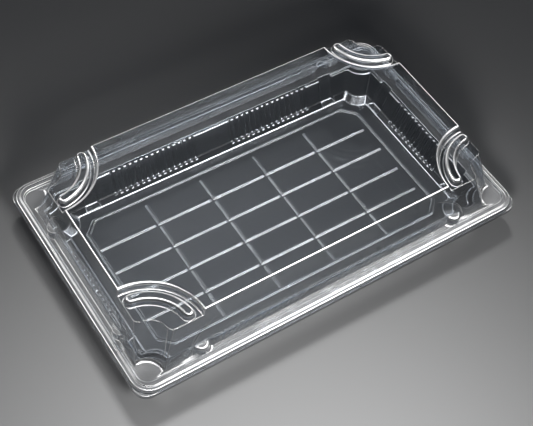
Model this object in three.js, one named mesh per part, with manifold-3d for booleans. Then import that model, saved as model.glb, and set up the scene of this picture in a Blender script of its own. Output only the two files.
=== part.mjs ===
// A clear takeaway sushi tray with its lid: two thin formed sheets, closed on each other.
// Millimetres, +Z up, origin under the middle of the tray, +X along the long side.
import * as THREE from 'three';
import { mergeVertices } from 'three/addons/utils/BufferGeometryUtils.js';
import Module from 'manifold-3d';

const wasm = await Module();
wasm.setup();

// Driving dimensions of the whole
const sheet = 0.5;              // wall thickness of both sheets
const floorTop = 0.5;           // upper side of the tray's floor
const rimHalf = { x: 120, y: 73.9 };
const arcSteps = 8;             // flats in each rounded corner of an outline
const roundSteps = 16;          // flats in a full circle
const clearance = 0.3;          // gap between the two sheets where they touch
const overlap = 0.01;           // how far solids that are joined reach into each other
const tall = 70;                // a height above everything, for cutting tools

// Tray: heights of the upper side, and outlines as half lengths
const tray = {
  gutter: { z: floorTop, x: 99.9, y: 51.6 },
  foot: { z: floorTop + 3, x: 103, y: 54.7 },
  ledgeZ: 16.8,
  ledge: { x: 107.3, y: 59.1 },
  ledgeWidth: 1.5,
  flangeZ: 17.6,
  lipZ: 15.3,
  lipRadius: 7.5,
};
const trayScoop = {
  foot: { inX: 0.6, inY: 0.8, r: 8, flare: 1.2 },
  top: { inX: 0.3, inY: -2.2, r: 11.2, flare: 1.6 },
};

// Upright grooves in the tray's walls: rows of flutes, and a pocket under each button of the lid
const flute = { width: 1.6, neck: 0.9, depth: 1.35, low: tray.foot.z - 1, high: tray.ledgeZ + 0.3 };
const pocket = { width: 9, neck: 7.6, depth: 2.2, low: tray.gutter.z + 0.6, high: tray.flangeZ + 1 };
const flutePitch = 3.5;
const longFlutes = { count: 16, centre: 38.6 };
const shortFlutes = { count: 13 };

// Raised lines on the tray's floor
const rib = { width: 1.3, height: 0.9, gap: 1.8 };
const cell = { x: 35.55, y: 17.06, columns: 4, rows: 4 };
const frameLine = { x: 90.8, y: 45, cut: 7 };

// Lid: heights of the upper side, and outlines as half lengths
const lid = {
  rim: [
    { z: tray.flangeZ + clearance, x: 120, y: 73.9, r: 11 },
    { z: 18.4, x: 119.5, y: 73.4, r: 10.5 },
    { z: 19.8, x: 119.2, y: 73.1, r: 10.2 },
    { z: 19.8, x: 116.9, y: 71.1, r: 8 },
    { z: 20.3, x: 116.6, y: 70.8, r: 7.7 },
    { z: 20.3, x: 115.5, y: 68.2, r: 6.6 },
    { z: 19.1, x: 115, y: 67.7, r: 6.1 },
  ],
  channelFrom: 5,
  channelZ: 19.1,
  foot: { x: 112.3, y: 64.7 },
  top: { z: 46.2, x: 106.9, y: 59.3 },
};
const lidScoop = {
  foot: { inX: 0.8, inY: 0.6, r: 9.6, flare: 0.6 },
  step: { inX: 2.2, inY: 2.2, r: 10, flare: 1.8 },
};

// Stepped corners in the lid's top, drawn about the top's own corners
const step = { floorZ: 42.5, outer: 30.8, ridgeOut: 26.9, ridgeIn: 21.4, ridgeEnd: 0.5, draft: 0.7 };

// Long shallow panels that stand out from the lid's walls
const panel = { topZ: 39.8, bendZ: 34.3, fadeZ: 11.1, proud: 0.9, sunk: 0.3, side: 2, root: 1 };
const longPanel = { half: 88, flat: 60 };
const shortPanel = { half: 43, flat: 20 };

// Half-round buttons at the foot of the lid's walls
const button = { r: 4.2, top: 24.6, alongX: 79.8, alongY: 35.9, sunkX: 0.9 };

// A closed geometry as a solid that can be joined and cut
function toSolid(geometry) {
  const bare = geometry.clone();
  bare.deleteAttribute('normal');
  bare.deleteAttribute('uv');
  const merged = mergeVertices(bare, 1e-4);
  return new wasm.Manifold(new wasm.Mesh({
    numProp: 3,
    vertProperties: new Float32Array(merged.getAttribute('position').array),
    triVerts: new Uint32Array(merged.index.array),
  }));
}

// A solid back as a geometry
function toGeometry(solid) {
  const mesh = solid.getMesh();
  const geometry = new THREE.BufferGeometry();
  geometry.setAttribute('position', new THREE.BufferAttribute(mesh.vertProperties, 3));
  geometry.setIndex(new THREE.BufferAttribute(mesh.triVerts, 1));
  geometry.computeVertexNormals();
  return geometry;
}

// A solid through outlines of equal point counts, listed from the bottom to the top
function loft(sections) {
  const count = sections[0].outline.length;
  const positions = sections.flatMap(({ z, outline }) => outline.flatMap((p) => [p.x, p.y, z]));
  const index = [];
  for (let level = 0; level + 1 < sections.length; level += 1) {
    for (let i = 0; i < count; i += 1) {
      const a = level * count + i;
      const b = level * count + ((i + 1) % count);
      index.push(a, b, b + count, a, b + count, a + count);
    }
  }
  const last = (sections.length - 1) * count;
  for (const [i, j, k] of THREE.ShapeUtils.triangulateShape(sections[0].outline, [])) {
    index.push(i, k, j);
  }
  for (const [i, j, k] of THREE.ShapeUtils.triangulateShape(sections.at(-1).outline, [])) {
    index.push(last + i, last + j, last + k);
  }
  const geometry = new THREE.BufferGeometry();
  geometry.setAttribute('position', new THREE.Float32BufferAttribute(positions, 3));
  geometry.setIndex(index);
  return toSolid(geometry);
}

// An upright prism between two heights
const prism = (outline, low, high) => loft([{ z: low, outline }, { z: high, outline }]);

const point = (x, y) => new THREE.Vector2(x, y);

// Points of an arc from one angle to another, both in radians
function arc(cx, cy, r, from, to, steps = arcSteps) {
  return Array.from({ length: steps + 1 }, (_, i) => {
    const a = from + ((to - from) * i) / steps;
    return point(cx + r * Math.cos(a), cy + r * Math.sin(a));
  });
}

// A whole outline from the points of its +X +Y corner, listed from the X side to the Y side
function fourfold(corner) {
  const back = [...corner].reverse();
  return [
    ...corner,
    ...back.map((p) => point(-p.x, p.y)),
    ...corner.map((p) => point(-p.x, -p.y)),
    ...back.map((p) => point(p.x, -p.y)),
  ];
}

// A rectangle with rounded corners, with two more points a corner to match a scooped outline
function roundedOutline(x, y, r) {
  const lead = 4;
  const turn = arc(x - r, y - r, r, 0, Math.PI / 2);
  return fourfold([point(x, y - r - lead), ...turn, point(x - r - lead, y)]);
}

// A rectangle whose corners are scooped in by an arc, grown or shrunk by a distance
function scoopedOutline(x, y, scoop, grow) {
  const least = 0.4;
  const r = scoop.r - grow;
  const cutOff = (inset) => Math.asin(Math.max(0, least - grow - inset) / r);
  const from = -Math.PI / 2 - cutOff(scoop.inX);
  const to = -Math.PI + cutOff(scoop.inY);
  const turn = arc(x - scoop.inX, y - scoop.inY, r, from, to);
  return fourfold([
    point(x + grow, turn[0].y - scoop.flare),
    ...turn,
    point(turn.at(-1).x - scoop.flare, y + grow),
  ]);
}

// A scoop part of the way from its foot to its top
function mixScoop(low, high, share) {
  return Object.fromEntries(
    Object.keys(low).map((key) => [key, THREE.MathUtils.lerp(low[key], high[key], share)]),
  );
}

// The four combinations of sides, as signs of x and y
const corners = [[1, 1], [-1, 1], [-1, -1], [1, -1]];

// Mirrors a solid into all four corners and joins the copies
function inCorners(solid) {
  return corners
    .map(([sx, sy]) => {
      const copyX = sx < 0 ? solid.mirror([1, 0, 0]) : solid;
      return sy < 0 ? copyX.mirror([0, 1, 0]) : copyX;
    })
    .reduce((all, copy) => all.add(copy));
}

// Mirrors a solid to the other side of the X or Y axis and joins both
const bothSides = (solid, normal) => solid.add(solid.mirror(normal));

// The space inside the tray, grown by a distance: its skin is the tray's upper side when that is 0
function trayCavity(grow) {
  const scoopLow = trayScoop.foot;
  const scoopHigh = trayScoop.top;
  const gutterScoop = { ...scoopLow, r: scoopLow.r + 1 };
  const outline = (size, scoop) => scoopedOutline(size.x, size.y, scoop, grow);
  const ledgeOut = { x: tray.ledge.x + tray.ledgeWidth, y: tray.ledge.y + tray.ledgeWidth };
  const upper = { ...scoopHigh, r: scoopHigh.r - tray.ledgeWidth };
  const bowl = loft([
    { z: tray.gutter.z - grow, outline: outline(tray.gutter, gutterScoop) },
    { z: tray.foot.z - grow / 2, outline: outline(tray.foot, scoopLow) },
    { z: tray.ledgeZ - grow, outline: outline(tray.ledge, scoopHigh) },
    { z: tray.ledgeZ - grow, outline: outline(ledgeOut, upper) },
    { z: tall, outline: outline(ledgeOut, upper) },
  ]);
  return bowl.add(allGrooves(grow));
}

// A groove that goes straight back into the wall along X, leaning with it, at a place along X
function wallGroove(shape, at, wallY, grow) {
  const slope = (tray.ledge.x - tray.foot.x) / (tray.ledgeZ - tray.foot.z);
  const half = shape.width / 2 + grow;
  const tip = shape.neck / 2 + grow / 2;
  const section = (z) => {
    const y = wallY + (z - tray.foot.z) * slope;
    return {
      z,
      outline: [
        point(at + half, y - shape.depth),
        point(at + half, y),
        point(at + tip, y + shape.depth + grow),
        point(at - tip, y + shape.depth + grow),
        point(at - half, y),
        point(at - half, y - shape.depth),
      ],
    };
  };
  return loft([section(shape.low - grow), section(shape.high)]);
}

// Every flute and pocket of the tray
function allGrooves(grow) {
  const row = (count, centre, wallY) => {
    const first = centre - ((count - 1) * flutePitch) / 2;
    return Array.from({ length: count }, (_, i) => wallGroove(flute, first + i * flutePitch, wallY, grow))
      .reduce((all, one) => all.add(one));
  };
  const along = row(longFlutes.count, longFlutes.centre, tray.foot.y)
    .add(wallGroove(pocket, button.alongX, tray.foot.y, grow));
  const across = row(shortFlutes.count, 0, tray.foot.x)
    .add(wallGroove(pocket, button.alongY, tray.foot.x, grow))
    .add(wallGroove(pocket, -button.alongY, tray.foot.x, grow))
    .rotate([0, 0, -90]);
  return inCorners(along).add(bothSides(across, [1, 0, 0]));
}

// A raised line on the floor between two points along X or Y
function floorRib(x1, y1, x2, y2) {
  const half = rib.width / 2;
  const outline = [
    point(Math.min(x1, x2) - half, Math.min(y1, y2) - half),
    point(Math.max(x1, x2) + half, Math.min(y1, y2) - half),
    point(Math.max(x1, x2) + half, Math.max(y1, y2) + half),
    point(Math.min(x1, x2) - half, Math.max(y1, y2) + half),
  ];
  return prism(outline, floorTop - sheet / 2, floorTop + rib.height);
}

// The line with cut corners that frames the floor
function frameRib() {
  const ring = (x, y) => fourfold([
    point(x, y - frameLine.cut),
    point(x - frameLine.cut, y),
  ]);
  const half = rib.width / 2;
  const low = floorTop - sheet / 2;
  const outer = prism(ring(frameLine.x + half, frameLine.y + half), low, floorTop + rib.height);
  const inner = prism(ring(frameLine.x - half, frameLine.y - half), low - 1, tall);
  return outer.subtract(inner);
}

// The grid of corner-shaped lines: from each crossing one arm runs to +X and one to +Y
function floorRibs() {
  const spread = (count, pitch) => Array.from({ length: count }, (_, i) => (i - (count - 1) / 2) * pitch);
  const columns = spread(cell.columns, cell.x);
  const rows = spread(cell.rows, cell.y);
  const short = rib.gap + rib.width;
  const arms = [];
  for (const y of rows) {
    arms.push(floorRib(-frameLine.x, y, columns[0] - short, y));
    for (const x of columns) {
      arms.push(floorRib(x, y, Math.min(x + cell.x, frameLine.x) - short, y));
      arms.push(floorRib(x, y, x, Math.min(y + cell.y, frameLine.y) - short));
    }
  }
  for (const x of columns) {
    arms.push(floorRib(x, -frameLine.y, x, rows[0] - short));
  }
  return arms.reduce((all, arm) => all.add(arm), frameRib());
}

// The tray: its flange and lip, and the skin round the cavity
function makeTray() {
  const { lipRadius } = tray;
  const rim = (inset) => roundedOutline(rimHalf.x - inset, rimHalf.y - inset, lipRadius - inset);
  const below = prism(rim(0), tray.lipZ, tray.flangeZ);
  const hollow = prism(rim(sheet), tray.lipZ - 1, tray.flangeZ - sheet);
  const flange = below.subtract(hollow);
  const bowl = trayCavity(sheet).intersect(prism(rim(sheet / 2), -1, tray.flangeZ));
  return bowl.add(flange).subtract(trayCavity(0)).add(floorRibs());
}

// The lid as a solid block whose skin lies a distance inside its upper side
function lidForm(inset) {
  const { foot, top } = lid;
  const share = (step.floorZ - lid.channelZ) / (top.z - lid.channelZ);
  const topScoop = mixScoop(lidScoop.foot, lidScoop.step, 1 / share);
  const rim = lid.rim.map(({ z, x, y, r }, i) => {
    const grow = i < lid.channelFrom ? -inset : inset;
    return { z: z - inset, outline: roundedOutline(x + grow, y + grow, r + grow) };
  });
  rim[0].z -= inset;
  let form = loft([
    ...rim,
    { z: lid.channelZ - inset, outline: scoopedOutline(foot.x, foot.y, lidScoop.foot, -inset) },
    { z: top.z - inset, outline: scoopedOutline(top.x, top.y, topScoop, -inset) },
  ]);
  form = form.add(bothSides(wallPanel(longPanel, foot.y, top.y, inset), [0, 1, 0]));
  const side = wallPanel(shortPanel, foot.x, top.x, inset).rotate([0, 0, -90]);
  form = form.add(bothSides(side, [1, 0, 0]));
  form = form.add(lidButtons(inset));
  form = form.subtract(inCorners(stepCut(inset)));
  return form.add(inCorners(stepRidge(inset)));
}

// A long panel on the wall that faces +Y, its ends curved down to the foot
function wallPanel(size, footY, topY, inset) {
  const slope = (footY - topY) / (lid.top.z - lid.channelZ);
  const ramp = (z, from, to) => THREE.MathUtils.clamp((z - from) / (to - from), 0, 1);
  return loft(arc(0, 0, 1, 0, Math.PI / 2).map((p) => {
    const half = size.flat + (size.half - size.flat) * p.x - inset;
    const z = lid.channelZ - inset + (panel.topZ - lid.channelZ) * p.y;
    const wall = footY - (z - lid.channelZ) * slope - inset;
    const rise = ramp(z, panel.fadeZ, panel.bendZ);
    const level = ramp(z, panel.topZ - inset, panel.bendZ);
    const proud = THREE.MathUtils.lerp(-panel.sunk, panel.proud * rise, level);
    return {
      z,
      outline: [
        point(half, wall - panel.root),
        point(half - panel.side, wall + proud),
        point(panel.side - half, wall + proud),
        point(-half, wall - panel.root),
      ],
    };
  }));
}

// The half-round buttons along both pairs of walls
function lidButtons(inset) {
  const along = (x, y) => prism(
    arc(x, y, button.r - inset, 0, 2 * Math.PI, roundSteps).slice(0, -1),
    lid.channelZ - inset - overlap,
    button.top - inset,
  );
  const slope = (lid.foot.y - lid.top.y) / (lid.top.z - lid.channelZ);
  const inward = (button.top - lid.channelZ) * slope;
  const long = along(button.alongX, lid.foot.y - inward);
  const short = along(lid.foot.x - inward - button.sunkX, button.alongY);
  return inCorners(long.add(short));
}

// A quarter disc about the top's corner, its arc carried on past the walls
function quarter(r) {
  const { x, y } = lid.top;
  const reach = 14;
  const past = Math.PI / 18;
  const turn = arc(x, y, r, past - Math.PI / 2, -past - Math.PI, 2 * arcSteps);
  return [
    point(x + reach, turn[0].y),
    ...turn,
    point(turn.at(-1).x, y + reach),
    point(x + reach, y + reach),
  ].reverse();
}

// What is cut away over the lowered floor of a stepped corner
function stepCut(inset) {
  return loft([
    { z: step.floorZ - inset, outline: quarter(step.outer - step.draft + inset) },
    { z: lid.top.z, outline: quarter(step.outer + inset) },
    { z: tall, outline: quarter(step.outer + inset) },
  ]);
}

// The curved ridge that stands on that floor, with round ends
function stepRidge(inset) {
  const { x, y } = lid.top;
  const band = (spread) => {
    const outer = step.ridgeOut - inset + spread;
    const inner = step.ridgeIn + inset - spread;
    const middle = (outer + inner) / 2;
    const round = (outer - inner) / 2;
    const end = Math.asin((round + step.ridgeEnd + inset - spread) / middle);
    const from = -Math.PI / 2 - end;
    const to = -Math.PI + end;
    const cap = (a, start) => arc(
      x + middle * Math.cos(a),
      y + middle * Math.sin(a),
      round,
      start,
      start + Math.PI,
      arcSteps,
    ).slice(1, -1);
    return [
      ...arc(x, y, outer, to, from, 2 * arcSteps),
      ...cap(from, from),
      ...arc(x, y, inner, from, to, 2 * arcSteps),
      ...cap(to, to + Math.PI),
    ];
  };
  const root = 2;
  return loft([
    { z: step.floorZ - root - inset, outline: band(step.draft) },
    { z: step.floorZ - inset, outline: band(step.draft) },
    { z: lid.top.z - inset, outline: band(0) },
  ]);
}

// The lid: its upper skin less the block one wall thickness inside it
const makeLid = () => lidForm(0).subtract(lidForm(sheet));

function piece(name, solid, material) {
  const mesh = new THREE.Mesh(toGeometry(solid), material);
  mesh.name = name;
  return mesh;
}

const clearSheet = new THREE.MeshStandardMaterial({
  color: 0xe9ebec,
  roughness: 0.05,
  metalness: 0,
  transparent: true,
  opacity: 0.25,
});

const model = new THREE.Group();
model.add(piece('tray', makeTray(), clearSheet));
model.add(piece('lid', makeLid(), clearSheet.clone()));

export default model;
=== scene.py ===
# A clear takeaway sushi tray with its lid closed on it, on a plain floor.
from itertools import combinations
from math import radians

import bmesh
import bpy
from mathutils import Matrix, Vector


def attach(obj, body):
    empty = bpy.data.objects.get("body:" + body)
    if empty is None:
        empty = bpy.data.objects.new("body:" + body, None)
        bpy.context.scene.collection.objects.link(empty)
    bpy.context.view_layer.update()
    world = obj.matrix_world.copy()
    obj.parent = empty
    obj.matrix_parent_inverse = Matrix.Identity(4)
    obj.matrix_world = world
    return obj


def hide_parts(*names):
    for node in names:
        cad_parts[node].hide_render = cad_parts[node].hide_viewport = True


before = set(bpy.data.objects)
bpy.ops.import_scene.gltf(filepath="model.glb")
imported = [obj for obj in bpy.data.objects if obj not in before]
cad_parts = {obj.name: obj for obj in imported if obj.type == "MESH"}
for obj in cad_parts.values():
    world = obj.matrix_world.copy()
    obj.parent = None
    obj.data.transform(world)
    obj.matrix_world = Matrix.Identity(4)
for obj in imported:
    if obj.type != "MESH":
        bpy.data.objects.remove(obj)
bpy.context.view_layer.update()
mm = 0.001
print("frame loaded")

scene = bpy.context.scene


def linkObject(name, data):
    made = bpy.data.objects.new(name, data)
    scene.collection.objects.link(made)
    return made


# Clear sheet, so thin that it doesn't bend what is seen through it: each wall mirrors a share of
# the light by the angle, and clears the rest. The inner side of a wall has no share of its own.
clearSheet = {
    "ior": 1.57,
    "hazeScale": 60,
    "hazeDetail": 4,
    "hazeSpan": (0.35, 0.75),
    "waveScale": 22,
    "waveDetail": 2,
    "waveDepth": 0.25 * mm,
    "waveStrength": 0.02,
    "levelSpan": (0.3, 0.7),                   # from standing upright to lying level
}

# Its finishes and painted light. allMirrored: the Fresnel value at which all light is mirrored.
# least: what a part mirrors at least where it lies level, and upright: where it stands upright.
# rough: how blurred that is. tintAndPaintedLight: colours what is seen through it, the sheet's own
# tint, with painted shade on steep faces and the lip and painted light on the rim. shadow: the lamp
# light that passes it.
finishesAndPaintedLight = {
    "flat": {
        "allMirrored": 1,
        "least": 0,
        "upright": 0,
        "rough": (0.02, 0.05),
        "tintAndPaintedLight": (0.865, 0.895, 0.93, 1),
        "shadow": 0.9,
    },
    # Steep faces: their darker see-through colour is partly the sheet's lower clearness at a slant,
    # mostly painted shade for the dark the walls mirror and the shaded floor behind them.
    "steep": {
        "allMirrored": 0.5,
        "least": 0,
        "upright": 0,
        "rough": (0.2, 0.3),
        "tintAndPaintedLight": (0.71, 0.75, 0.80, 1),
        "shadow": 0.6,
    },
    # The lip: its almost black see-through colour is painted shade, drawing dark lines between the
    # bright folds where the real lip mirrors dark surroundings.
    "lip": {
        "allMirrored": 0.5,
        "least": 0,
        "upright": 0,
        "rough": (0.2, 0.3),
        "tintAndPaintedLight": (0.38, 0.4, 0.43, 1),
        "shadow": 0.35,
    },
    # The rim: its see-through colour is lighter than the flat sheet's, painted light that brightens
    # the band.
    "rim": {
        "allMirrored": 0.5,
        "least": 0.12,
        "upright": 0.12,
        "rough": (0.3, 0.5),
        "tintAndPaintedLight": (0.93, 0.95, 0.97, 1),
        "shadow": 0.55,
    },
    # The folds: partly painted highlight, as the rounded creases mirror far more than the sheet's
    # angle gives, so the lamps draw bright lines along them; upright folds mirror less than level
    # ones, painted shade.
    "lidFold": {
        "allMirrored": 0.5,
        "least": 0.85,
        "upright": 0.4,
        "rough": (0.26, 0.36),
        "tintAndPaintedLight": (0.84, 0.87, 0.91, 1),
        "shadow": 0.5,
    },
    "trayFold": {
        "allMirrored": 0.5,
        "least": 0.7,
        "upright": 0.06,                       # painted shade: upright flute sides mirror little, so flutes stay dark between their bright ends
        "rough": (0.26, 0.36),
        "tintAndPaintedLight": (0.84, 0.87, 0.91, 1),
        "shadow": 0.7,
    },
}


def noiseNode(tree, place, scale, detail):
    noise = tree.nodes.new("ShaderNodeTexNoise")
    noise.inputs["Scale"].default_value = scale
    noise.inputs["Detail"].default_value = detail
    tree.links.new(place, noise.inputs["Vector"])
    return noise.outputs["Fac"]


def spanNode(tree, value, start, end):
    # Carries a value from one span over to another
    span = tree.nodes.new("ShaderNodeMapRange")
    span.inputs["From Min"].default_value, span.inputs["From Max"].default_value = start
    span.inputs["To Min"].default_value, span.inputs["To Max"].default_value = end
    tree.links.new(value, span.inputs["Value"])
    return span


def mixNode(tree, share, first, second):
    mix = tree.nodes.new("ShaderNodeMixShader")
    tree.links.new(share, mix.inputs["Fac"])
    tree.links.new(first, mix.inputs[1])
    tree.links.new(second, mix.inputs[2])
    return mix.outputs["Shader"]


def clearNode(tree, tintAndPaintedLight):
    clear = tree.nodes.new("ShaderNodeBsdfTransparent")
    clear.inputs["Color"].default_value = tintAndPaintedLight
    return clear.outputs["BSDF"]


def clearMaterial(name, finishAndPaintedLight):
    s = clearSheet
    made = bpy.data.materials.new(name)
    made.use_nodes = True
    tree = made.node_tree
    nodes, links = tree.nodes, tree.links
    nodes.clear()
    place = nodes.new("ShaderNodeTexCoord").outputs["Object"]
    faces = nodes.new("ShaderNodeNewGeometry")

    # Faint cloudiness of the formed sheet, and a slight unevenness that bends reflections
    haze = noiseNode(tree, place, s["hazeScale"], s["hazeDetail"])
    rough = spanNode(tree, haze, s["hazeSpan"], finishAndPaintedLight["rough"])
    bump = nodes.new("ShaderNodeBump")
    bump.inputs["Strength"].default_value = s["waveStrength"]
    bump.inputs["Distance"].default_value = s["waveDepth"]
    links.new(noiseNode(tree, place, s["waveScale"], s["waveDetail"]), bump.inputs["Height"])
    gloss = nodes.new("ShaderNodeBsdfGlossy")
    links.new(rough.outputs["Result"], gloss.inputs["Roughness"])
    links.new(bump.outputs["Normal"], gloss.inputs["Normal"])

    mirrored = nodes.new("ShaderNodeFresnel")
    mirrored.inputs["IOR"].default_value = s["ior"]
    links.new(bump.outputs["Normal"], mirrored.inputs["Normal"])
    share = spanNode(tree, mirrored.outputs["Fac"], (0, finishAndPaintedLight["allMirrored"]), (finishAndPaintedLight["least"], 1))
    # On the folds the least share falls from level to upright faces: painted shade on upright folds.
    if finishAndPaintedLight["upright"] != finishAndPaintedLight["least"]:
        turned = nodes.new("ShaderNodeSeparateXYZ")
        links.new(faces.outputs["Normal"], turned.inputs["Vector"])
        level = nodes.new("ShaderNodeMath")
        level.operation = "ABSOLUTE"
        links.new(turned.outputs["Z"], level.inputs[0])
        leasts = (finishAndPaintedLight["upright"], finishAndPaintedLight["least"])
        least = spanNode(tree, level.outputs["Value"], s["levelSpan"], leasts)
        links.new(least.outputs["Result"], share.inputs["To Min"])

    clear = clearNode(tree, finishAndPaintedLight["tintAndPaintedLight"])
    outer = mixNode(tree, share.outputs["Result"], clear, gloss.outputs["BSDF"])
    wall = mixNode(tree, faces.outputs["Backfacing"], outer, clearNode(tree, (1, 1, 1, 1)))
    shade = clearNode(tree, (finishAndPaintedLight["shadow"],) * 3 + (1,))
    path = nodes.new("ShaderNodeLightPath")
    out = nodes.new("ShaderNodeOutputMaterial")
    links.new(mixNode(tree, path.outputs["Is Shadow Ray"], wall, shade), out.inputs["Surface"])
    return made


sheets = {name: clearMaterial(name + "Sheet", finishAndPaintedLight) for name, finishAndPaintedLight in finishesAndPaintedLight.items()}
print("materials made")

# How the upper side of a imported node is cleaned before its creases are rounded
skin = {
    "weld": 0.002 * mm,
    "lipHeight": 0.02 * mm,
    "flatAngle": 0.6,
    "shortEdge": 0.13 * mm,
    "sliver": 0.02 * mm,
    "quad": 4,
}


def upperSkin(node, lipZ):
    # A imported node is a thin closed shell: the narrow ring under its lip joins its upper and
    # its lower side, so without that ring they come apart
    s = skin
    bm = bmesh.new()
    bm.from_mesh(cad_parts[node].data)
    bmesh.ops.remove_doubles(bm, verts=bm.verts, dist=s["weld"])
    ring = [f for f in bm.faces if all(abs(v.co.z - lipZ) < s["lipHeight"] for v in f.verts)]
    bmesh.ops.delete(bm, geom=ring, context="FACES")
    kept, queue = set(), [max(bm.verts, key=lambda v: v.co.z)]
    while queue:
        vert = queue.pop()
        if vert not in kept:
            kept.add(vert)
            queue.extend(edge.other_vert(vert) for edge in vert.link_edges)
    bmesh.ops.delete(bm, geom=[v for v in bm.verts if v not in kept], context="VERTS")
    flatAngle = radians(s["flatAngle"])
    bmesh.ops.dissolve_limit(bm, angle_limit=flatAngle, verts=bm.verts, edges=bm.edges)
    bmesh.ops.remove_doubles(bm, verts=bm.verts, dist=s["shortEdge"])
    bmesh.ops.dissolve_degenerate(bm, dist=s["sliver"], edges=bm.edges)
    rings = [f for f in bm.faces if len(f.verts) > s["quad"]]
    bmesh.ops.connect_verts_concave(bm, faces=rings)
    bmesh.ops.recalc_face_normals(bm, faces=bm.faces)
    top = max(bm.faces, key=lambda f: f.calc_area())
    if top.normal.z < 0:
        bmesh.ops.reverse_faces(bm, faces=bm.faces)
    return bm


# Which edges leave another one sideways, and which creases are one line
rounding = {"sideways": 0.7, "turn": 40}


def reach(loop):
    # How far a face goes from one of its edges, by its area and by the edges that leave it sideways
    along = (loop.link_loop_next.vert.co - loop.vert.co).normalized()
    reaches = [loop.face.calc_area() / loop.edge.calc_length()]
    for side in (loop.link_loop_prev, loop.link_loop_next):
        line = side.link_loop_next.vert.co - side.vert.co
        sideways = line.cross(along).length
        if sideways > rounding["sideways"] * line.length:
            reaches.append(sideways)
    return min(reaches)


def carriesOn(vert, first, second):
    # Two creases that meet at a slight turn are one rounded line
    before = first.other_vert(vert).co - vert.co
    after = vert.co - second.other_vert(vert).co
    return before.angle(after) < radians(rounding["turn"])


def weighCreases(bm, s):
    # Every crease gets the radius that it has room for, as a weight for the bevel, and joined
    # creases are evened out to the least of them
    weight = bm.edges.layers.float.new("bevel_weight_edge")
    for edge in bm.edges:
        if len(edge.link_loops) == 2 and edge.calc_face_angle() > radians(s["crease"]):
            room = min(reach(loop) for loop in edge.link_loops)
            if room > s["narrow"]:
                edge[weight] = min(1, s["room"] * room / s["radius"])
    joins = []
    for vert in bm.verts:
        rounded = [edge for edge in vert.link_edges if edge[weight] > 0]
        joins += [pair for pair in combinations(rounded, 2) if carriesOn(vert, *pair)]
    for _ in range(s["passes"]):
        for first, second in joins:
            first[weight] = second[weight] = min(first[weight], second[weight])


def sortFacesForPaintedLight(bm, s):
    # Faces are flat, steep, on the rim, or on the lip that hangs from the rim. Steep faces and the
    # lip take the finishes with painted shade, the rim the one with painted light.
    for face in bm.faces:
        face.smooth = True
        out = max(max(abs(v.co.x) - s["rimX"], abs(v.co.y) - s["rimY"]) for v in face.verts)
        if abs(face.normal.z) < s["steep"]:
            face.material_index = s["finishesAndPaintedLight"].index("lip" if out > s["lip"] else "steep")
        elif out > 0:
            face.material_index = s["finishesAndPaintedLight"].index("rim")


def roundSheet(bm, name, s):
    weighCreases(bm, s)
    sortFacesForPaintedLight(bm, s)
    mesh = bpy.data.meshes.new(name)
    bm.to_mesh(mesh)
    bm.free()
    made = linkObject(name, mesh)
    for finishAndPaintedLight in s["finishesAndPaintedLight"]:
        mesh.materials.append(sheets[finishAndPaintedLight])
    bevel = made.modifiers.new("rounding", "BEVEL")
    bevel.limit_method = "WEIGHT"
    bevel.width = s["radius"]
    bevel.segments = s["segments"]
    bevel.material = len(s["finishesAndPaintedLight"]) - 1    # the folds take the last material, the one with the painted highlight
    bevel.use_clamp_overlap = False
    solid = made.modifiers.new("thickness", "SOLIDIFY")
    solid.thickness = s["thickness"]
    solid.offset = -1                          # the sheet lies under its upper side
    normals = made.modifiers.new("normals", "WEIGHTED_NORMAL")
    normals.mode = "FACE_AREA"
    normals.keep_sharp = True
    return made


tray = {
    "lipZ": 15.3 * mm,                         # lower edge of the lip
    "crease": 24,                              # degrees, a sharper fold than this is rounded
    "radius": 0.7 * mm,
    "room": 0.4,                               # share of the room that a radius may take
    "narrow": 0.2 * mm,                        # a crease with less room than this stays sharp
    "passes": 24,
    "segments": 2,
    "thickness": 0.35 * mm,
    "steep": 0.9,
    "rimX": 110 * mm,
    "rimY": 62 * mm,
    "lip": 9 * mm,                             # from the rim's inner edge out to the lip
    "finishesAndPaintedLight": ["flat", "steep", "lip", "rim", "trayFold"],
}
trayShell = roundSheet(upperSkin("tray", tray["lipZ"]), "trayShell", tray)
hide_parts("tray")
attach(trayShell, "root")
print("tray made")

lid = {
    "lipZ": 17.9 * mm,
    "crease": 24,
    "radius": 1.5 * mm,
    "room": 0.4,
    "narrow": 0.3 * mm,
    "passes": 24,
    "segments": 3,
    "thickness": 0.35 * mm,
    "steep": 0.75,
    "rimX": 113 * mm,
    "rimY": 65.5 * mm,
    "lip": 6 * mm,
    "finishesAndPaintedLight": ["flat", "steep", "lip", "rim", "lidFold"],
}
lidShell = roundSheet(upperSkin("lid", lid["lipZ"]), "lidShell", lid)
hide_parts("lid")
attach(lidShell, "root")
print("lid made")

# Plain pale floor
floor = {"half": 3, "albedo": 0.5, "rough": 0.6}
bm = bmesh.new()
bmesh.ops.create_grid(bm, x_segments=1, y_segments=1, size=floor["half"])
mesh = bpy.data.meshes.new("floor")
bm.to_mesh(mesh)
bm.free()
floorPlane = linkObject("floor", mesh)
plain = bpy.data.materials.new("plainFloor")
plain.use_nodes = True
surface = plain.node_tree.nodes["Principled BSDF"]
surface.inputs["Base Color"].default_value = (floor["albedo"],) * 3 + (1,)
surface.inputs["Roughness"].default_value = floor["rough"]
surface.inputs["Specular IOR Level"].default_value = 0
mesh.materials.append(plain)
print("floor made")

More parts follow.
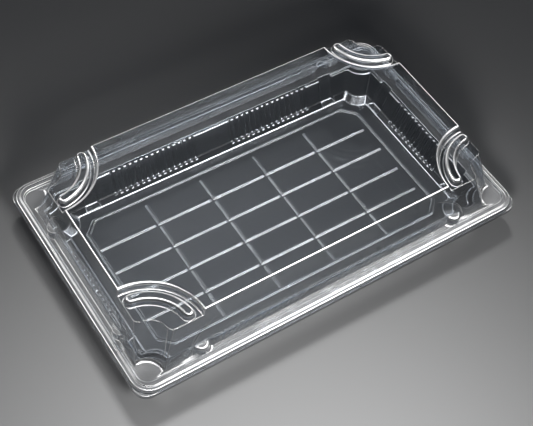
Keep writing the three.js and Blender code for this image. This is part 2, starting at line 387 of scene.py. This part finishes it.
# Two lamps light the floor, and show in no reflection. The wide panels show in the gloss of the
# sheet, mostly along its folds, and don't light the floor.
objectMiddle = (0, 0, 0.03)
floorLamps = {
    "key": {
        "kind": "SPOT",
        "at": (0.16, 0.29, 0.86),
        "to": (-0.09, -0.16, 0),
        "watts": 21,
        "soft": 0.12,
        "cone": 28,
    },
    "front": {
        "kind": "POINT",
        "at": (-0.11, -0.25, 0.20),
        "to": objectMiddle,
        "watts": 1.35,
        "soft": 0.04,
    },
}
panels = {
    "overFront": {"at": (0.36, -0.30, 0.95), "size": (0.8, 0.45), "watts": 13},
    "over": {"at": (-0.18, -0.08, 1.0), "size": (0.4, 0.3), "watts": 3.5},
    "backLeft": {"at": (-0.45, 0.60, 0.80), "size": (0.5, 0.5), "watts": 4},
    "back": {"at": (0.35, 1.0, 0.30), "size": (1.3, 0.4), "watts": 3},
    "right": {"at": (0.95, 0.45, 0.32), "size": (0.7, 0.4), "watts": 3},
}


def hangLamp(name, kind, at, to, watts):
    data = bpy.data.lights.new(name, kind)
    data.energy = watts
    lamp = linkObject(name, data)
    lamp.location = at
    lamp.rotation_euler = (Vector(to) - Vector(at)).to_track_quat("-Z", "Y").to_euler()
    lamp.visible_camera = False
    return lamp


for name, s in floorLamps.items():
    lamp = hangLamp(name, s["kind"], s["at"], s["to"], s["watts"])
    lamp.data.shadow_soft_size = s["soft"]
    if s["kind"] == "SPOT":
        lamp.data.spot_size = radians(s["cone"])
        lamp.data.spot_blend = 1
    lamp.visible_glossy = False
    lamp.visible_transmission = False
for name, s in panels.items():
    lamp = hangLamp(name, "AREA", s["at"], objectMiddle, s["watts"])
    lamp.data.shape = "RECTANGLE"
    lamp.data.size, lamp.data.size_y = s["size"]
    lamp.visible_diffuse = False

room = {"colour": (0.030, 0.032, 0.036, 1)}
world = bpy.data.worlds.new("room")
world.use_nodes = True
world.node_tree.nodes["Background"].inputs["Color"].default_value = room["colour"]
scene.world = world
scene.view_settings.view_transform = "Standard"

# Light passes many thin walls here, and is not gathered into bright spots on the floor
light = {"bounces": 24, "walls": 48}
scene.cycles.max_bounces = light["bounces"]
scene.cycles.transmission_bounces = light["bounces"]
scene.cycles.transparent_max_bounces = light["walls"]
scene.cycles.caustics_reflective = False
scene.cycles.caustics_refractive = False
print("lamps made")

# Camera at the photograph's angle
view = {
    "at": (-0.24207, -0.31692, 0.53437),
    "along": (0.36600, 0.47729, -0.79890),
    "up": (0.40009, 0.69438, 0.59814),
    "lens": 80.05,
    "nearest": 0.01,
}
data = bpy.data.cameras.new("camera")
data.lens = view["lens"]
data.clip_start = view["nearest"]
camera = linkObject("camera", data)
back = -Vector(view["along"]).normalized()
side = Vector(view["up"]).cross(back).normalized()
turn = Matrix((side, back.cross(side), back)).transposed()
camera.matrix_world = Matrix.Translation(view["at"]) @ turn.to_4x4()
scene.camera = camera
print("camera made")
